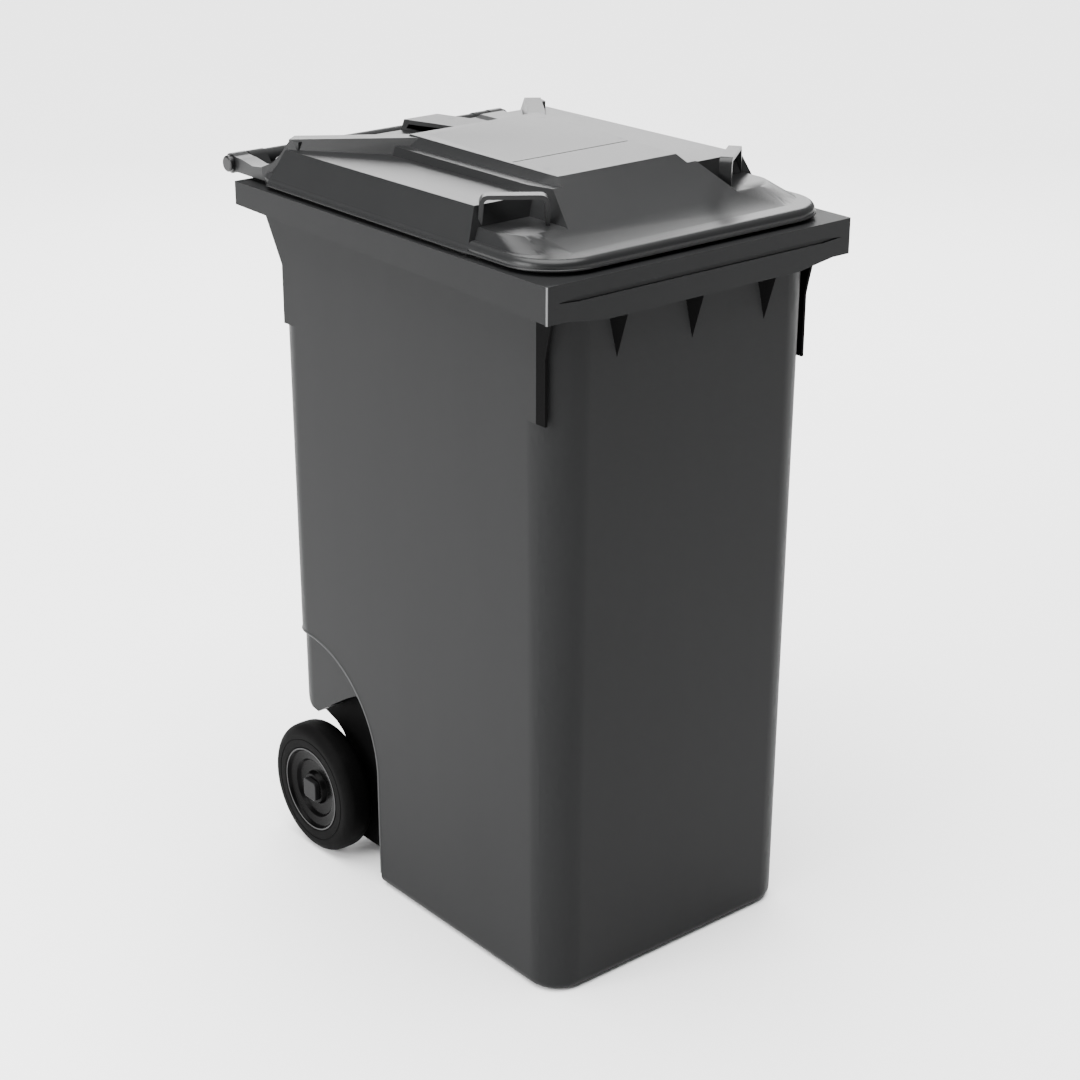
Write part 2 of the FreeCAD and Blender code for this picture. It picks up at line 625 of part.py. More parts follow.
def main():
    export("bin_body", bin_body())
    export("bin_lid", bin_lid())
    export("wheel_axle", wheel_axle())
    export("transponder_cap", transponder_cap())
    for side, place in (("right", lambda shape: shape), ("left", mirror_x)):
        export("hinge_pin_" + side, place(hinge_pin()))
        export(side + "_tyre", place(tyre()))
        export(side + "_wheel_rim", place(wheel_rim()))
        export(side + "_inner_bush", place(bush(WHEEL_INNER + 1)))
        export(side + "_outer_bush", place(bush(WHEEL_OUTER - HUB_RECESS - BUSH_LENGTH)))
        export(side + "_axle_spacer", place(axle_spacer()))
        export(side + "_retaining_ring", place(retaining_ring()))
        export(side + "_hub_cap", place(hub_cap()))


main()
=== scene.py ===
"""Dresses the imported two-wheeled refuse bin: tub, lid, hinge pins, axle and rubber-tyred wheels."""

import json
import logging
import math
from dataclasses import dataclass, field
from enum import Enum
from typing import Callable

import bmesh
import bpy
from mathutils import Matrix, Vector


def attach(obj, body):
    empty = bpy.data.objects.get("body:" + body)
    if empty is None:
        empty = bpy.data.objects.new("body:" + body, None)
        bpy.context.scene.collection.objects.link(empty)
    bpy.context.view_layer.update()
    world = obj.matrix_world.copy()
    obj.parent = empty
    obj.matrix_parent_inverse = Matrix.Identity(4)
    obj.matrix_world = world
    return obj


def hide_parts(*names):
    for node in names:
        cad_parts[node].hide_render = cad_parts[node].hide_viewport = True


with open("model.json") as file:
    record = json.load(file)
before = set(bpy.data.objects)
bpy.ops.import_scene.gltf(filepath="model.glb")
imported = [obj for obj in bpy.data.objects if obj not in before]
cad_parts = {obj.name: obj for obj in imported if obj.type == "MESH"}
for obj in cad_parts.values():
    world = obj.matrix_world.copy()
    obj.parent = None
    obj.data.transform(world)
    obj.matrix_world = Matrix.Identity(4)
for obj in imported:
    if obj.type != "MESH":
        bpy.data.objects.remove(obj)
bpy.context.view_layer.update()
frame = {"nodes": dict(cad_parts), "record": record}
SAME_PLACE = 1e-6
FLAT_ANGLE = 0.6
MM = 0.001

log = logging.getLogger("wheelie_bin")


class Side(Enum):
    """The two sides of the bin, by the sign of X."""

    LEFT = -1
    RIGHT = 1

    @property
    def word(self) -> str:
        """The side's name as the CAD nodes spell it."""
        return self.name.lower()


class Zone(Enum):
    """Finishes within one moulding, by material index: the edge zone carries a painted highlight on tub and
    lid, and the deep zone carries painted shade on the tub.
    """

    PLAIN = 0
    EDGE = 1
    DEEP = 2


@dataclass(frozen=True)
class Region:
    """Part of the bin's space and its mirror image across the middle plane.

    Attributes:
        x: least and greatest distance from the middle plane.
        y: front and rear limits.
        z: lower and upper limits.
    """

    x: tuple[float, float]
    y: tuple[float, float]
    z: tuple[float, float]

    def holds(self, place: Vector) -> bool:
        """Whether a place lies in the region."""
        return (self.x[0] < abs(place.x) < self.x[1] and self.y[0] < place.y < self.y[1]
                and self.z[0] < place.z < self.z[1])


# Shader maths ----------------------------------------------------------------------------------


class Level:
    """A shader socket that carries a number and can be used in Python arithmetic."""

    def __init__(self, shader: "Shader", socket: bpy.types.NodeSocket) -> None:
        """Keeps the socket together with the material it belongs to."""
        self.shader = shader
        self.socket = socket

    def _math(self, operation: str, first: object, second: object = None) -> "Level":
        """Adds one Math node.

        Args:
            operation: the Math node's operation.
            first: a Level or a number.
            second: a Level or a number, where the operation takes two.

        Returns:
            The result as a Level.
        """
        sockets = {0: first} if second is None else {0: first, 1: second}
        node = self.shader.node("ShaderNodeMath", {"operation": operation}, sockets)
        return Level(self.shader, node.outputs[0])

    def __add__(self, other: object) -> "Level":
        """Sum."""
        return self._math("ADD", self, other)

    __radd__ = __add__

    def __sub__(self, other: object) -> "Level":
        """Difference."""
        return self._math("SUBTRACT", self, other)

    def __mul__(self, other: object) -> "Level":
        """Product."""
        return self._math("MULTIPLY", self, other)

    __rmul__ = __mul__

    def clipped(self) -> "Level":
        """The value kept between 0 and 1."""
        return self._math("MAXIMUM", self._math("MINIMUM", self, 1.0), 0.0)


class Shader:
    """A node material with one Principled surface."""

    def __init__(self, name: str, **constants: object) -> None:
        """Starts an empty material.

        Args:
            name: the material's name.
            constants: Principled sockets that are the same all over, with spaces as underscores.
        """
        self.material = bpy.data.materials.new(name)
        self.material.use_nodes = True
        self.tree = self.material.node_tree
        self.surface = self.tree.nodes["Principled BSDF"]
        for label, value in constants.items():
            self.surface.inputs[label.replace("_", " ")].default_value = value

    def node(self, kind: str, settings: dict | None = None, sockets: dict | None = None) -> bpy.types.Node:
        """Adds a node of any kind.

        Args:
            kind: the node's type.
            settings: properties set first; "stops" gives a colour ramp's (place, colour) pairs.
            sockets: values, Levels or sockets for its inputs, by name or number.

        Returns:
            The new node.
        """
        made = self.tree.nodes.new(kind)
        for label, value in (settings or {}).items():
            if label == "stops":
                ramp = made.color_ramp
                while len(ramp.elements) < len(value):
                    ramp.elements.new(0.5)
                for stop, (place, colour) in zip(ramp.elements, value):
                    stop.position = place
                    stop.color = colour
            else:
                setattr(made, label, value)
        for label, value in (sockets or {}).items():
            self.feed(made.inputs[label], value)
        return made

    def feed(self, socket: bpy.types.NodeSocket, value: object) -> None:
        """Links or sets one input.

        Args:
            socket: the input.
            value: a Level, an output socket, or a constant.
        """
        if isinstance(value, Level):
            self.tree.links.new(value.socket, socket)
        elif isinstance(value, bpy.types.NodeSocket):
            self.tree.links.new(value, socket)
        else:
            socket.default_value = value

    def place(self, stretch: tuple[float, float, float] = (1.0, 1.0, 1.0)) -> bpy.types.NodeSocket:
        """Object coordinates, stretched along the axes."""
        coordinates = self.node("ShaderNodeTexCoord")
        mapped = self.node("ShaderNodeMapping", None,
                           {"Vector": coordinates.outputs["Object"], "Scale": stretch})
        return mapped.outputs["Vector"]

    def noise(self, scale: float, detail: float = 3.0,
              stretch: tuple[float, float, float] = (1, 1, 1)) -> Level:
        """Noise between 0 and 1.

        Args:
            scale: features per metre.
            detail: octaves.
            stretch: how much finer the pattern is along each axis.

        Returns:
            The noise as a Level.
        """
        made = self.node("ShaderNodeTexNoise", None,
                         {"Vector": self.place(stretch), "Scale": scale, "Detail": detail, "Roughness": 0.55})
        return Level(self, made.outputs["Fac"])

    def blend(self, factor: Level, low: tuple, high: tuple) -> bpy.types.NodeSocket:
        """Colour between low and high.

        Args:
            factor: 0 for low, 1 for high.
            low: colour as red, green and blue.
            high: colour as red, green and blue.

        Returns:
            The colour socket.
        """
        mix = self.node("ShaderNodeMix", {"data_type": "RGBA"}, {0: factor, 6: (*low, 1.0), 7: (*high, 1.0)})
        return mix.outputs[2]

    def bump(self, height: Level, distance: float, strength: float = 1.0) -> None:
        """Feeds the surface's normal from a height.

        Args:
            height: from 0 to 1.
            distance: metres between heights 0 and 1.
            strength: share of the effect.
        """
        made = self.node("ShaderNodeBump", None,
                         {"Height": height, "Distance": distance, "Strength": strength})
        self.feed(self.surface.inputs["Normal"], made.outputs["Normal"])


# Finishes --------------------------------------------------------------------------------------


@dataclass(frozen=True)
class MouldedPlastic:
    """Injection-moulded plastic with a fine grain, faint flow marks and light scuffs.

    Attributes:
        name: material name.
        dark: colour of the plain surface.
        light: colour of worn and dusty places.
        roughness: mean roughness.
        grain: height of the grain in metres.
        grain_scale: grains per metre.
        specular: strength of the surface reflection.
    """

    name: str
    dark: tuple[float, float, float]
    light: tuple[float, float, float]
    roughness: float = 0.42
    grain: float = 0.00012
    grain_scale: float = 900.0
    specular: float = 0.5

    def make(self) -> bpy.types.Material:
        """Builds the node material."""
        shader = Shader(self.name, Specular_IOR_Level=self.specular)
        cloud = shader.noise(3.2, 4.0)
        flow = shader.noise(9.0, 3.0, (2.0, 2.0, 0.35))
        grain = shader.noise(self.grain_scale, 2.0)
        scuff = ((shader.noise(40.0, 5.0, (1.0, 1.0, 4.0)) - 0.62) * 4.0).clipped()
        tone = (cloud * 0.55 + flow * 0.35 + grain * 0.10 + scuff * 0.12).clipped()
        shader.feed(shader.surface.inputs["Base Color"], shader.blend(tone, self.dark, self.light))
        rough = self.roughness - 0.06 + cloud * 0.08 + grain * 0.06 + scuff * 0.08
        shader.feed(shader.surface.inputs["Roughness"], rough)
        shader.bump(grain * 0.8 + flow * 0.2, self.grain)
        return shader.material


@dataclass(frozen=True)
class Rubber:
    """Solid tyre rubber: dull, slightly dusty, with fine pores."""

    name: str
    dark: tuple[float, float, float]
    dust: tuple[float, float, float]

    def make(self) -> bpy.types.Material:
        """Builds the node material."""
        shader = Shader(self.name, Specular_IOR_Level=0.04)
        dust = ((shader.noise(28.0, 5.0) - 0.5) * 2.2).clipped()
        pores = shader.noise(1400.0, 2.0)
        shader.feed(shader.surface.inputs["Base Color"], shader.blend(dust, self.dark, self.dust))
        shader.feed(shader.surface.inputs["Roughness"], 0.62 + dust * 0.18 + pores * 0.05)
        shader.bump(pores, 0.00015)
        return shader.material


@dataclass(frozen=True)
class PlatedSteel:
    """Zinc-plated steel with turning marks."""

    name: str
    colour: tuple[float, float, float]

    def make(self) -> bpy.types.Material:
        """Builds the node material."""
        shader = Shader(self.name)
        marks = shader.noise(120.0, 4.0, (8.0, 1.0, 1.0))
        stain = shader.noise(18.0, 3.0)
        low = tuple(0.75 * part for part in self.colour)
        shader.feed(shader.surface.inputs["Base Color"], shader.blend(stain, low, self.colour))
        shader.feed(shader.surface.inputs["Metallic"], 0.92 + marks * 0.08)
        shader.feed(shader.surface.inputs["Roughness"], 0.28 + marks * 0.15 + stain * 0.08)
        shader.bump(marks, 0.00008)
        return shader.material


BODY_PLASTIC = MouldedPlastic("anthracite_tub_plastic", (0.0088, 0.0090, 0.0092), (0.0128, 0.0130, 0.0133),
                              roughness=0.42, specular=0.06)
# Light colour on the tub's rounded edges and rim corners: a painted highlight.
BODY_EDGE_HIGHLIGHT = MouldedPlastic("polished_tub_edge", (0.070, 0.071, 0.072), (0.150, 0.152, 0.154),
                           roughness=0.34, specular=0.4)
# Near-black colour in the wheel recesses and on the gussets and front fins: painted shade.
BODY_PAINTED_SHADE = MouldedPlastic("rough_tub_recess", (0.0012, 0.0012, 0.0012), (0.0026, 0.0026, 0.0027),
                           roughness=0.6, specular=0.02)
# Lighter colour of the recess bead: a painted highlight.
RECESS_BEAD_HIGHLIGHT = MouldedPlastic("polished_recess_bead", (0.020, 0.0204, 0.0208), (0.042, 0.0425, 0.043),
                             roughness=0.4, specular=0.2)
LID_PLASTIC = MouldedPlastic("anthracite_lid_plastic", (0.0080, 0.0082, 0.0084), (0.0120, 0.0122, 0.0125),
                             roughness=0.31, specular=0.20)
# Light colour on the lid's rounded edges: a painted highlight.
LID_EDGE_HIGHLIGHT = MouldedPlastic("polished_lid_edge", (0.030, 0.0304, 0.0308), (0.060, 0.0605, 0.061),
                          roughness=0.26, specular=0.4)
BLACK_PLASTIC = MouldedPlastic("black_fitting_plastic", (0.004, 0.004, 0.0042), (0.007, 0.007, 0.0073),
                               roughness=0.34, specular=0.3)
WHEEL_PLASTIC = MouldedPlastic("black_wheel_plastic", (0.0008, 0.0008, 0.0008), (0.0018, 0.0018, 0.0018),
                               roughness=0.24, specular=0.03)
RIM_EDGE = MouldedPlastic("scuffed_rim_edge", (0.016, 0.016, 0.0165), (0.032, 0.032, 0.0325),
                          roughness=0.45, specular=0.2)
CAP_PLASTIC = MouldedPlastic("dark_cap_plastic", (0.0040, 0.0040, 0.0042), (0.0080, 0.0080, 0.0082),
                             roughness=0.35, specular=0.06)
NYLON = MouldedPlastic("natural_nylon", (0.55, 0.54, 0.50), (0.66, 0.65, 0.61), roughness=0.35)
TYRE_RUBBER = Rubber("tyre_rubber", (0.0010, 0.0010, 0.0010), (0.0032, 0.0032, 0.0032))
AXLE_STEEL = PlatedSteel("zinc_plated_steel", (0.62, 0.63, 0.64))


# Mesh helpers ----------------------------------------------------------------------------------


def dress(piece: bpy.types.Object, *materials: bpy.types.Material) -> None:
    """Gives a piece its materials, in the order of Zone.

    Args:
        piece: a mesh object.
        materials: its finish, and the finishes of its edges and deep places where they differ, which carry
            painted highlight and painted shade.
    """
    for index, material_slot in enumerate(piece.material_slots):
        material_slot.material = materials[index] if index < len(materials) else materials[0]
    for material in materials[len(piece.material_slots):]:
        piece.data.materials.append(material)


def finished(name: str, form: bmesh.types.BMesh, smooth_angle: float = 35.0) -> bpy.types.Object:
    """Turns a worked mesh into an object with smooth shading between its sharp edges.

    Args:
        name: the piece's name.
        form: the worked mesh, which is freed.
        smooth_angle: edges sharper than this many degrees stay sharp.

    Returns:
        The new object.
    """
    mesh = bpy.data.meshes.new(name)
    bmesh.ops.recalc_face_normals(form, faces=form.faces)
    form.to_mesh(mesh)
    form.free()
    mesh.shade_smooth()
    mesh.set_sharp_from_angle(angle=math.radians(smooth_angle))
    piece = bpy.data.objects.new(name, mesh)
    bpy.context.scene.collection.objects.link(piece)
    level = piece.modifiers.new("level_faces", "WEIGHTED_NORMAL")
    level.keep_sharp = True
    level.weight = 100
    return piece


def softened(node: str, name: str, width: float, segments: int = 2, angle: float = 28.0) -> bpy.types.Object:
    """A copy of a CAD node with its sharp edges rounded over.

    Args:
        node: the CAD node.
        name: the new piece's name.
        width: width of the rounding in metres.
        segments: steps across each rounding.
        angle: edges sharper than this many degrees are rounded.

    Returns:
        The new object.
    """
    form = bmesh.new()
    form.from_mesh(frame["nodes"][node].data)
    bmesh.ops.remove_doubles(form, verts=form.verts, dist=SAME_PLACE)
    bmesh.ops.dissolve_limit(form, angle_limit=math.radians(FLAT_ANGLE), verts=form.verts, edges=form.edges,
                             use_dissolve_boundaries=False)
    sharp = [edge for edge in form.edges
             if len(edge.link_faces) == 2 and edge.calc_face_angle(0.0) > math.radians(angle)]
    rounded = bmesh.ops.bevel(form, geom=sharp, offset=width, offset_type="OFFSET", segments=segments,
                              profile=0.5, affect="EDGES", clamp_overlap=True, material=-1)
    for face in form.faces:
        face.material_index = Zone.PLAIN.value
    # The rounded faces go into the edge zone, which carries a painted highlight on tub and lid.
    for face in rounded["faces"]:
        face.material_index = Zone.EDGE.value
    return finished(name, form)


def scored(piece: bpy.types.Object, place: tuple, normal: tuple) -> None:
    """Adds edges where a plane crosses a piece, without changing its shape.

    Args:
        piece: the piece.
        place: a point of the plane.
        normal: the plane's normal.
    """
    form = bmesh.new()
    form.from_mesh(piece.data)
    bmesh.ops.bisect_plane(form, geom=form.verts[:] + form.edges[:] + form.faces[:], dist=SAME_PLACE,
                           plane_co=place, plane_no=normal)
    form.to_mesh(piece.data)
    form.free()


def mark(piece: bpy.types.Object, zone: Zone, inside: Callable[[Vector, Vector], bool]) -> None:
    """Puts some of a piece's faces into one of its zones.

    Args:
        piece: the piece.
        zone: the zone.
        inside: tells from a face's centre and normal whether it belongs there.
    """
    for face in piece.data.polygons:
        if inside(face.center, face.normal):
            face.material_index = zone.value


def slanting(share: float, least: float) -> bool:
    """Whether one part of a face's normal is that of a face neither along nor square to its axis.

    Args:
        share: that part of the normal.
        least: what it has to be greater than.

    Returns:
        True for a slanting face.
    """
    return least < abs(share) < 0.98


def turned(name: str, profile: list[tuple[float, float]], place: tuple[float, float], steps: int = 96,
           flip: float = 1.0) -> bpy.types.Object:
    """A closed profile spun about an axis parallel to X.

    Args:
        name: the piece's name.
        profile: corners as (radius, x), in order round the section.
        place: y and z of the axis.
        steps: faces round the piece.
        flip: -1 mirrors the section in x.

    Returns:
        The new object.
    """
    form = bmesh.new()
    y, z = place
    ring = [form.verts.new((flip * x, y, z + radius)) for radius, x in profile]
    edges = [form.edges.new((ring[index], ring[(index + 1) % len(ring)])) for index in range(len(ring))]
    bmesh.ops.spin(form, geom=ring + edges, cent=(0, y, z), axis=(1, 0, 0), angle=math.tau, steps=steps,
                   use_merge=True)
    bmesh.ops.remove_doubles(form, verts=form.verts, dist=SAME_PLACE)
    return finished(name, form)


def rod_along(name: str, path: list[Vector], radius: float, sides: int = 10) -> bpy.types.Object:
    """A round bead of one thickness along a path, with closed ends.

    Args:
        name: the piece's name.
        path: points of its middle line.
        radius: the bead's radius.
        sides: faces round the bead.

    Returns:
        The new object.
    """
    form = bmesh.new()
    start = (path[1] - path[0]).normalized()
    facing = start.to_track_quat("Z", "Y").to_matrix().to_4x4()
    circle = bmesh.ops.create_circle(form, cap_ends=True, radius=radius, segments=sides,
                                     matrix=Matrix.Translation(path[0]) @ facing)
    front = list({face for vert in circle["verts"] for face in vert.link_faces})
    for before, here, after in zip(path, path[1:], path[2:] + [2 * path[-1] - path[-2]]):
        grown = bmesh.ops.extrude_face_region(form, geom=front)
        verts = [item for item in grown["geom"] if isinstance(item, bmesh.types.BMVert)]
        front = [item for item in grown["geom"] if isinstance(item, bmesh.types.BMFace)]
        bmesh.ops.translate(form, verts=verts, vec=here - before)
        turn = (here - before).rotation_difference(after - here)
        half = turn.to_matrix().to_4x4()
        bmesh.ops.rotate(form, verts=verts, cent=here, matrix=half)
    return finished(name, form, 50.0)


def arc(centre: tuple[float, float], radius: float, start: float, end: float, steps: int) -> list:
    """Points on an arc in a plane.

    Args:
        centre: its two coordinates.
        radius: the arc's radius.
        start: first angle in degrees.
        end: last angle in degrees.
        steps: segments.

    Returns:
        The points as pairs.
    """
    points = []
    for index in range(steps + 1):
        angle = math.radians(start + (end - start) * index / steps)
        points.append((centre[0] + radius * math.cos(angle), centre[1] + radius * math.sin(angle)))
    return points


@dataclass
class Assembly:
    """Sub-assembly whose pieces ride on bodies of the frame.

    Attributes:
        finishes: material for each slot of the record.
    """

    finishes: dict[str, bpy.types.Material]

    def fit(self, piece: bpy.types.Object, body: str, slot: str, *stands_for: str,
            finish: str = "") -> bpy.types.Object:
        """Dresses a piece and ties it to its body.

        Args:
            piece: the new object.
            body: the body that carries it.
            slot: its material slot.
            stands_for: CAD nodes that it replaces.
            finish: its material's key, where that isn't the slot's own.

        Returns:
            The piece.
        """
        plain = finish or slot
        zones = [self.finishes[plain]]
        # The edge and deep zones take the painted-highlight and painted-shade finishes where the finishes
        # hold them.
        zones += [self.finishes.get(f"{plain}_{zone}", zones[0]) for zone in ("edge", "deep")]
        if max((face.material_index for face in piece.data.polygons), default=0) == 0:
            zones = zones[:1]
        dress(piece, *zones)
        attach(piece, body)
        if stands_for:
            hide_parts(*stands_for)
        log.info("%s rides on %s with %d faces", piece.name, body, len(piece.data.polygons))
        return piece


# Sub-assemblies --------------------------------------------------------------------------------


@dataclass
class Tub(Assembly):
    """The bin's body: tapered tub, comb rim, grip and wheel recesses.

    Attributes:
        edge: width of the rounding on its moulded edges.
        recess_centre: y and z of the recess arch.
        recess_radius: radius of the arch.
        base_half_width: half the width at the floor.
        flare: how much the side wall leans out per metre of height.
        rear: y of the rear wall beside the arch.
        rear_corner: radius of the rear corners there.
        lip: radius of the bead along the arch.
        sunk: how far the bead's middle line lies inside the wall.
        bead_bend: z where the bead has come down to its straight end.
        bead_foot: z of the bead's lower end.
        fin_rear: y where the painted shade on the front fins ends.
        house_front: the wheel recess as far back as the axle, whose faces that don't face up get painted
            shade.
        house_rear: the wheel recess behind the axle, whose faces that don't face up get painted shade.
        gussets: the wedges under the front rim, whose slanting faces get painted shade.
        rim_corners: the rounded front corners of the rim, which get a painted highlight.
    """

    edge: float = 0.0016
    recess_centre: tuple[float, float] = (0.230, 0.177)
    recess_radius: float = 0.170
    base_half_width: float = 0.2195
    flare: float = 0.00546
    rear: float = 0.2775
    rear_corner: float = 0.052
    lip: float = 0.0019
    sunk: float = 0.0008
    bead_bend: float = 0.100
    bead_foot: float = 0.019
    fin_rear: float = -0.3005
    house_front: Region = Region((0.160, 0.2135), (0.056, 0.200), (0.0, 0.290))
    house_rear: Region = Region((0.160, 0.2135), (0.200, 0.400), (0.0, 0.222))
    gussets: Region = Region((0.0, 0.150), (-0.400, -0.3380), (0.885, 1.0))
    rim_corners: Region = Region((0.2515, 0.300), (-0.400, -0.3545), (0.940, 1.100))

    def wall(self, y: float, z: float) -> float:
        """Half the tub's width at a place on its side wall, following the rounded rear corner.

        Args:
            y: depth of the place.
            z: height of the place.

        Returns:
            The distance from the middle plane.
        """
        past = max(0.0, y - (self.rear - self.rear_corner))
        rounding = self.rear_corner - math.sqrt(self.rear_corner ** 2 - past ** 2)
        return self.base_half_width + self.flare * z - rounding

    def arch_bead(self, side: Side) -> None:
        """Adds the fine bead along the edge of one wheel recess, whose lighter finish is a painted highlight.
        """
        front = self.recess_centre[0] - self.recess_radius
        line = arc(self.recess_centre, self.recess_radius, 80.0, 180.0, 48)
        line += [(front, self.bead_bend), (front, self.bead_foot)]
        points = [Vector((side.value * (self.wall(y, z) - self.sunk), y, z)) for y, z in line]
        bead = rod_along(f"{side.word}_recess_bead", points, self.lip)
        self.fit(bead, "tub", "body_plastic", finish="recess_bead")

    def is_deep(self, centre: Vector, normal: Vector) -> bool:
        """Whether a face gets painted shade: in a wheel recess, or on a gusset or front fin under the rim.

        Args:
            centre: the face's centre.
            normal: its normal.

        Returns:
            True in those places.
        """
        fins = Region((0.2185, 0.2248), (-0.400, self.fin_rear), (0.815, 1.0))
        in_recess = self.house_front.holds(centre) or self.house_rear.holds(centre)
        on_gusset = self.gussets.holds(centre) and slanting(normal.x, 0.3)
        return (in_recess and normal.z < 0.3) or on_gusset or fins.holds(centre)

    def is_polished(self, centre: Vector, normal: Vector) -> bool:
        """Whether a face belongs to a rounded front corner of the rim, which gets a painted highlight.

        Args:
            centre: the face's centre.
            normal: its normal.

        Returns:
            True there.
        """
        return self.rim_corners.holds(centre) and slanting(normal.x, 0.2) and normal.y < -0.2

    def build(self) -> None:
        """Builds the moulding and its beads."""
        moulding = softened("bin_body", "tub_moulding", self.edge)
        # The cut at fin_rear ends the painted shade on the fins; deep faces get painted shade and the rim
        # corners a painted highlight.
        scored(moulding, (0.0, self.fin_rear, 0.0), (0.0, 1.0, 0.0))
        mark(moulding, Zone.DEEP, self.is_deep)
        mark(moulding, Zone.EDGE, self.is_polished)
        self.fit(moulding, "tub", "body_plastic", "bin_body")
        for side in Side:
            self.arch_bead(side)


@dataclass
class Lid(Assembly):
    """The lid with its plateau, handles and arms.

    Attributes:
        edge: width of the rounding on its moulded edges.
        half_width: half the width of the side walls at the foot.
        bead_half_width: half the width of the rolled front edge.
        front: y of the rolled front edge.
        corner: radius of the front corners.
        bottom: z of the lid's lower edge.
        lip: radius of the fine lip under the rolled edge.
    """

    edge: float = 0.0016
    half_width: float = 0.250
    bead_half_width: float = 0.247
    front: float = -0.345
    corner: float = 0.072
    bottom: float = 1.0165
    lip: float = 0.0018

    def edge_lip(self) -> None:
        """Adds the fine lip that runs along both sides and round the front."""
        z = self.bottom + self.lip
        reach = self.half_width - 0.0008
        centre = (self.bead_half_width - self.corner, self.front + self.corner)
        bend = arc(centre, self.corner + 0.0002, 0, -90, 16)
        right = [(reach, 0.236), (reach, -0.190), (self.bead_half_width + 0.0004, -0.206)] + bend
        outline = right + [(-x, y) for x, y in reversed(right)]
        self.fit(rod_along("lid_edge_lip", [Vector((x, y, z)) for x, y in outline], self.lip), "lid",
                 "lid_plastic")

    def build(self) -> None:
        """Builds the moulding and its lip."""
        # The lid's rounded edges carry a painted highlight.
        moulding = softened("bin_lid", "lid_moulding", self.edge, 3, 20.0)
        self.fit(moulding, "lid", "lid_plastic", "bin_lid")
        self.edge_lip()


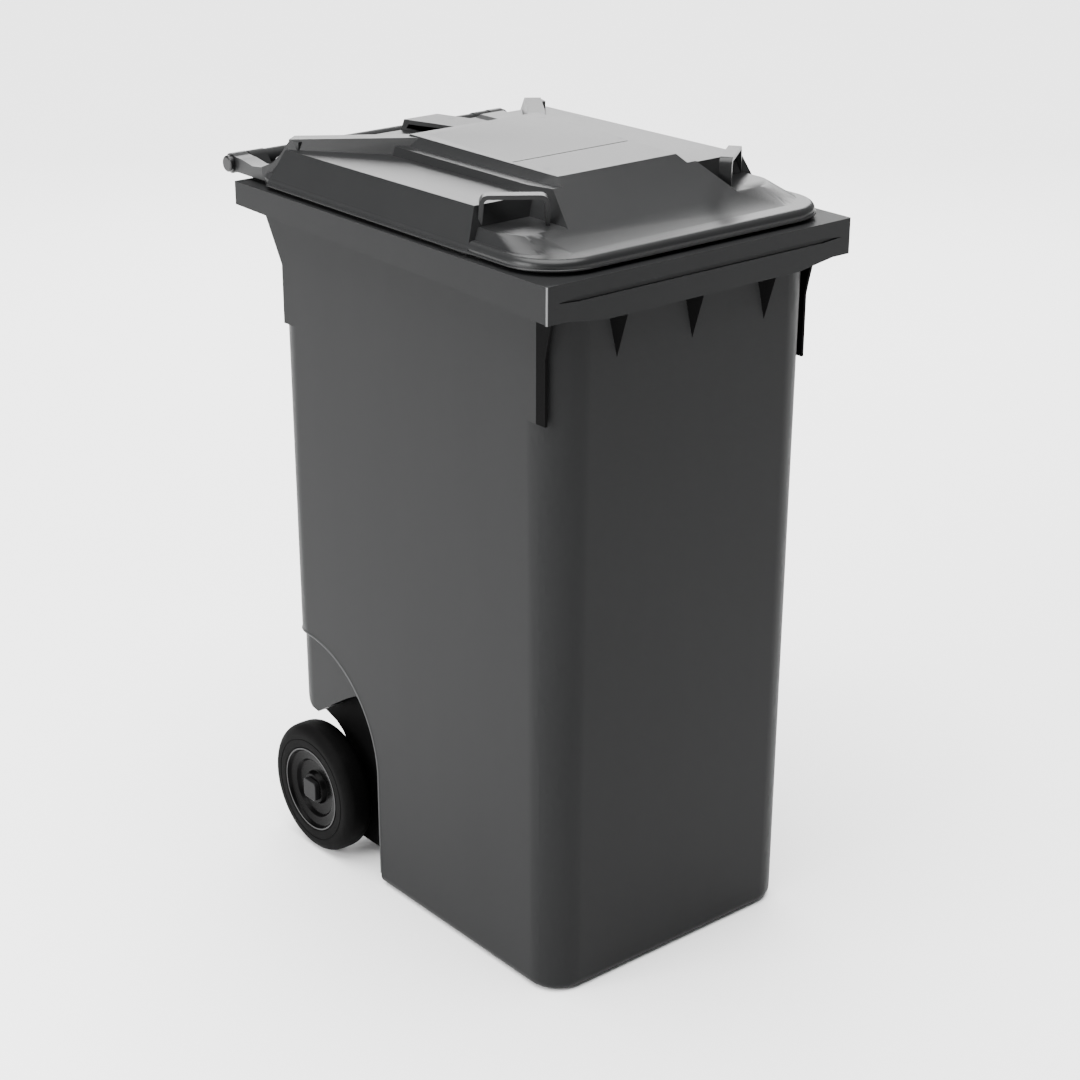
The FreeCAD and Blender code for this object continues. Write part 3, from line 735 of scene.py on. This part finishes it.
@dataclass
class Wheel(Assembly):
    """One wheel: solid tyre, dished disc and cap.

    Attributes:
        side: which side of the bin it is on.
        axis: y and z of the axle.
        radius: the tyre's radius.
        inner: x of the inner face.
        outer: x of the outer face.
        rim_radius: radius where tyre and disc meet.
        webs: stiffening webs behind the disc.
        web_size: a web's width along the axle, thickness and height.
        web_x: x of the webs' middle.
        web_radius: distance of their middle from the axle.
    """

    side: Side = Side.LEFT
    axis: tuple[float, float] = (0.212, 0.100)
    radius: float = 0.100
    inner: float = 0.190
    outer: float = 0.238
    rim_radius: float = 0.064
    webs: int = 8
    web_size: tuple[float, float, float] = (0.024, 0.003, 0.0355)
    web_x: float = 0.2075
    web_radius: float = 0.0405

    @property
    def body(self) -> str:
        """The frame's body for this wheel."""
        return f"{self.side.word}_wheel"

    def node(self, part: str) -> str:
        """The CAD node of one of the wheel's parts."""
        return f"{self.side.word}_{part}"

    def shoulder(self, x: float, outward: float) -> list[tuple[float, float]]:
        """Section of one sidewall from tread to rim, as (radius, x) corners.

        Args:
            x: the sidewall's face.
            outward: 1 for the outer sidewall, -1 for the inner.

        Returns:
            The corners.
        """
        turn = 0.0155
        points = []
        for index in range(9):
            angle = math.radians(82.0 - 82.0 * index / 8)
            points.append((self.radius - 0.0004 - turn + turn * math.sin(angle),
                           x - outward * (turn - turn * math.cos(angle))))
        for radius, depth in ((0.0800, 0.0), (0.0795, 0.0007), (0.0780, 0.0007), (0.0775, 0.0),
                              (0.0690, 0.0), (0.0665, 0.0006), (0.0650, 0.0018), (self.rim_radius, 0.0030)):
            points.append((radius, x - outward * depth))
        return points

    def tyre(self) -> None:
        """Builds the tyre with its crowned tread, mould line and sidewall ring."""
        middle = (self.inner + self.outer) / 2
        line = 0.0006
        outer_side = self.shoulder(self.outer, 1.0)
        inner_side = self.shoulder(self.inner, -1.0)
        tread = [(self.radius - 0.0001, middle - 0.005), (self.radius - 0.0001, middle - line),
                 (self.radius, middle - line / 2), (self.radius, middle + line / 2),
                 (self.radius - 0.0001, middle + line), (self.radius - 0.0001, middle + 0.005)]
        profile = list(reversed(inner_side)) + tread + outer_side
        self.fit(turned(f"{self.side.word}_solid_tyre", profile, self.axis, 120, self.side.value), self.body,
                 "tyre_rubber", self.node("tyre"))

    def disc(self) -> None:
        """Builds the dished disc with its rim lip, stepped well and hub."""
        face = [(63.6, 237.0), (63.1, 237.4), (61.9, 237.4), (61.2, 236.8), (59.4, 233.6), (58.4, 232.8),
                (57.0, 232.5), (47.0, 231.2), (45.6, 230.6), (43.0, 226.9), (41.6, 226.2), (28.0, 225.4),
                (26.4, 226.0), (23.4, 232.2), (22.2, 233.0), (15.0, 233.0), (15.0, 230.0), (13.0, 230.0)]
        back = [(13.0, 191.0), (22.0, 191.0), (22.4, 219.0), (39.0, 219.5), (45.0, 224.5), (57.0, 226.5),
                (58.6, 224.0), (59.4, 192.6), (60.0, 192.0), (64.0, 192.0)]
        profile = [(radius * MM, x * MM) for radius, x in face + back]
        form = turned(f"{self.side.word}_wheel_disc", profile, self.axis, 120, self.side.value)
        self.fit(form, self.body, "wheel_plastic", self.node("wheel_rim"))
        for spoke in range(self.webs):
            self.web(spoke)

    def web(self, spoke: int) -> None:
        """Adds one stiffening web behind the disc."""
        form = bmesh.new()
        bmesh.ops.create_cube(form, size=1.0, matrix=Matrix.Diagonal((*self.web_size, 1.0)))
        lengthwise = [edge for edge in form.edges
                      if abs((edge.verts[0].co - edge.verts[1].co).x) > self.web_size[0] / 2]
        bmesh.ops.bevel(form, geom=lengthwise, offset=0.0008, segments=2, profile=0.5, affect="EDGES",
                        material=-1)
        bmesh.ops.translate(form, verts=form.verts, vec=(self.side.value * self.web_x, 0, self.web_radius))
        turn = Matrix.Rotation(math.radians(360.0 / self.webs * (spoke + 0.5)), 4, "X")
        place = Matrix.Translation((0.0, self.axis[0], self.axis[1]))
        bmesh.ops.transform(form, matrix=place @ turn, verts=form.verts)
        self.fit(finished(f"{self.side.word}_disc_web_{spoke + 1}", form), self.body, "wheel_plastic")

    def rim_line(self) -> None:
        """Adds the pale ring where tyre and disc meet."""
        profile = [(64.3, 236.9), (64.3, 237.7), (63.9, 238.0), (62.7, 238.0), (62.3, 237.7), (62.3, 236.9)]
        ring = turned(f"{self.side.word}_rim_edge", [(r * MM, x * MM) for r, x in profile], self.axis, 120,
                      self.side.value)
        self.fit(ring, self.body, "wheel_plastic", finish="rim_edge")

    def build(self) -> None:
        """Builds the wheel."""
        self.tyre()
        self.disc()
        cap = softened(self.node("hub_cap"), f"{self.side.word}_centre_cap", 0.0007, 3)
        self.fit(cap, self.body, "cap_plastic", self.node("hub_cap"))
        self.rim_line()


@dataclass
class HingePin(Assembly):
    """Hinge pin with a domed knob.

    Attributes:
        side: which side of the bin it is on.
    """

    side: Side = Side.LEFT

    def build(self) -> None:
        """Builds the pin."""
        node = f"hinge_pin_{self.side.word}"
        pin = softened(node, f"{self.side.word}_lid_pin", 0.0006, 2, 40.0)
        self.fit(pin, "tub", "pin_plastic", node)


# Studio ----------------------------------------------------------------------------------------


@dataclass
class Studio:
    """Pale floor, soft lights and the camera.

    Attributes:
        eye: where the camera stands.
        heading: degrees that it is turned from the bin's depth towards its right.
        tilt: degrees that it looks down.
        roll: degrees that it leans to one side.
        lens: focal length in millimetres.
    """

    eye: Vector = field(default_factory=lambda: Vector((-1.90161, -2.33341, 1.76131)))
    heading: float = 39.65
    tilt: float = 22.56
    roll: float = 0.17
    lens: float = 76.13

    def camera(self) -> None:
        """Adds the camera above and in front of the bin's left corner."""
        data = bpy.data.cameras.new("camera")
        data.lens = self.lens
        data.sensor_width = 36.0
        eye = bpy.data.objects.new("camera", data)
        turn = Matrix.Rotation(math.radians(-self.heading), 4, "Z")
        lean = Matrix.Rotation(math.radians(90.0 - self.tilt), 4, "X")
        roll = Matrix.Rotation(math.radians(self.roll), 4, "Z")
        eye.matrix_world = Matrix.Translation(self.eye) @ turn @ lean @ roll
        bpy.context.scene.collection.objects.link(eye)
        bpy.context.scene.camera = eye

    def floor(self) -> None:
        """Adds a large pale floor."""
        mesh = bpy.data.meshes.new("floor")
        plane = bmesh.new()
        bmesh.ops.create_grid(plane, x_segments=1, y_segments=1, size=12.0)
        plane.to_mesh(mesh)
        plane.free()
        floor = bpy.data.objects.new("floor", mesh)
        bpy.context.scene.collection.objects.link(floor)
        shader = Shader("pale_floor", Roughness=0.9)
        shade = shader.noise(1.5)
        colour = shader.blend(shade, (0.86, 0.86, 0.86), (0.89, 0.89, 0.89))
        shader.feed(shader.surface.inputs["Base Color"], colour)
        dress(floor, shader.material)

    def lamp(self, name: str, place: tuple, aim: tuple, size: tuple[float, float], power: float) -> None:
        """Adds one soft rectangular light.

        Args:
            name: the light's name.
            place: where it stands.
            aim: the point it faces.
            size: its width and height.
            power: watts.
        """
        data = bpy.data.lights.new(name, "AREA")
        data.shape = "RECTANGLE"
        data.size, data.size_y = size
        data.energy = power
        lamp = bpy.data.objects.new(name, data)
        lamp.location = place
        lamp.rotation_euler = (Vector(aim) - Vector(place)).to_track_quat("-Z", "Y").to_euler()
        bpy.context.scene.collection.objects.link(lamp)

    def sun(self, name: str, toward: tuple, strength: float, spread: float) -> None:
        """Adds one very soft light of the same strength everywhere.

        Args:
            name: the light's name.
            toward: the direction it stands in.
            strength: watts per square metre.
            spread: its angle in degrees.
        """
        data = bpy.data.lights.new(name, "SUN")
        data.energy = strength
        data.angle = math.radians(spread)
        lamp = bpy.data.objects.new(name, data)
        lamp.rotation_euler = Vector(toward).to_track_quat("Z", "Y").to_euler()
        bpy.context.scene.collection.objects.link(lamp)

    def build(self) -> None:
        """Sets up the whole studio."""
        self.floor()
        self.sun("overhead", (-0.05, 0.02, 1.0), 11.0, 68.0)
        self.lamp("key_left", (-4.2, 0.4, 1.9), (0, 0, 0.5), (2.6, 2.6), 330)
        self.lamp("back", (2.4, 3.0, 2.3), (0, 0, 1.0), (3.6, 1.4), 110)
        world = bpy.data.worlds.new("studio")
        world.use_nodes = True
        world.node_tree.nodes["Background"].inputs["Color"].default_value = (1, 1, 1, 1)
        world.node_tree.nodes["Background"].inputs["Strength"].default_value = 0.35
        bpy.context.scene.world = world
        self.camera()


def main() -> None:
    """Builds every sub-assembly and the studio."""
    logging.basicConfig(level=logging.INFO)
    finishes = {
        "body_plastic": BODY_PLASTIC.make(),
        "lid_plastic": LID_PLASTIC.make(),
        "pin_plastic": BLACK_PLASTIC.make(),
        "tyre_rubber": TYRE_RUBBER.make(),
        "wheel_plastic": WHEEL_PLASTIC.make(),
        "cap_plastic": CAP_PLASTIC.make(),
        "bush_nylon": NYLON.make(),
        "axle_steel": AXLE_STEEL.make(),
    }
    for entry in frame["record"]["subparts"]:
        dress(frame["nodes"][entry["node"]], finishes[entry["material_slot"]])
    finishes["rim_edge"] = RIM_EDGE.make()
    # The bead and edge finishes below are painted highlights and the deep finish is painted shade.
    finishes["recess_bead"] = RECESS_BEAD_HIGHLIGHT.make()
    finishes["body_plastic_edge"] = BODY_EDGE_HIGHLIGHT.make()
    finishes["body_plastic_deep"] = BODY_PAINTED_SHADE.make()
    finishes["lid_plastic_edge"] = LID_EDGE_HIGHLIGHT.make()
    Tub(finishes).build()
    Lid(finishes).build()
    for side in Side:
        Wheel(finishes, side).build()
        HingePin(finishes, side).build()
    Studio().build()


if __name__ == "__main__":
    main()
